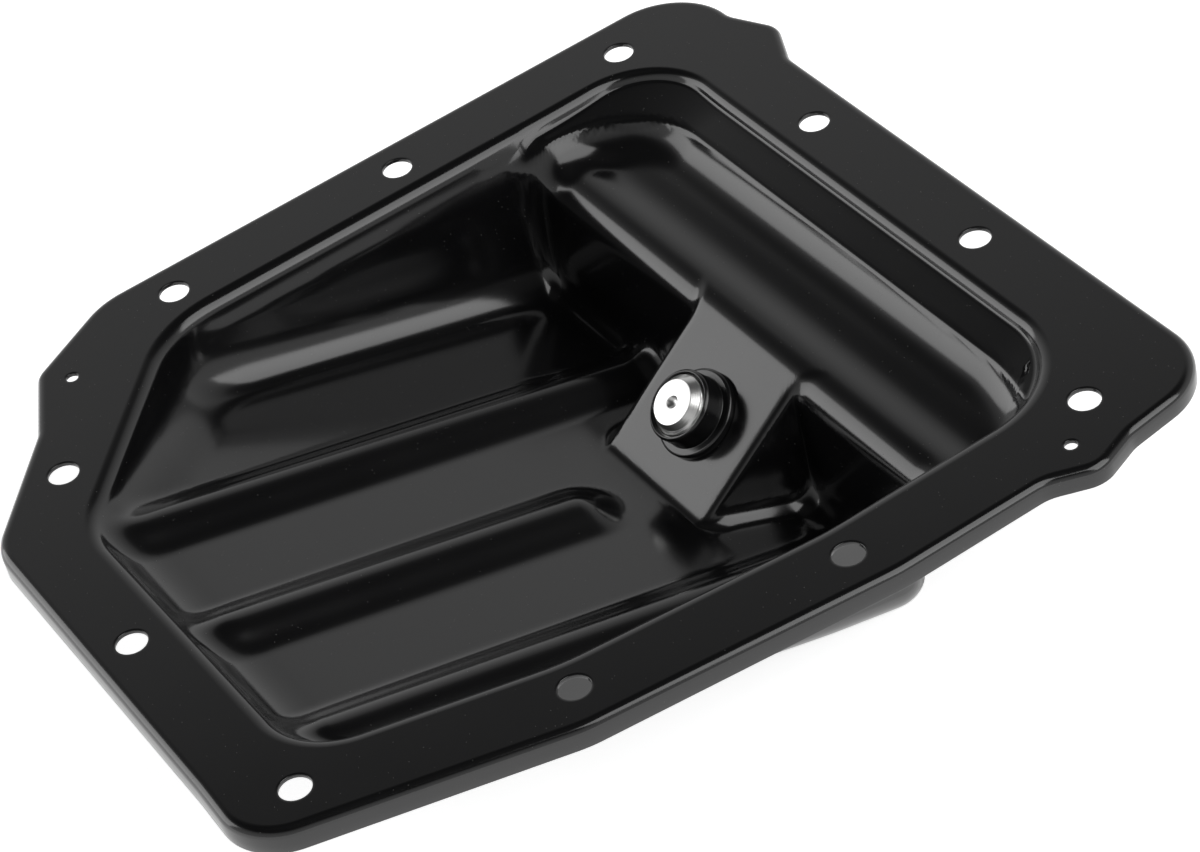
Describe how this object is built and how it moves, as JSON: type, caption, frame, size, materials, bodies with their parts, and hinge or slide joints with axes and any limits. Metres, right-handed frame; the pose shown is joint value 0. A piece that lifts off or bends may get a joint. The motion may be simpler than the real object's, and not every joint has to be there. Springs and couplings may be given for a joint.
{
  "type": "engine oil pan",
  "caption": "Pressed steel engine oil pan with a bolted flange, sloping ribbed floor, side shelf and a drain ramp with welded nut and plug.",
  "frame": {"origin": "middle of the flange's length and width, on its flat mating face", "axes": "+Z out of the mating face towards the engine block, +X along the flange from the shallow end to the drain end, +Y from the near edge to the straight far edge"},
  "size_m": [0.2264, 0.2102, 0.0408],
  "materials": {
    "black_paint": "gloss",
    "nut_paint": "gloss",
    "plug_zinc": "satin",
    "washer_aluminium": "satin"
  },
  "bodies": {
    "root": {"pan": "black_paint", "drain_nut": "nut_paint", "drain_plug": "plug_zinc", "drain_gasket": "washer_aluminium"}
  },
  "joints": []
}
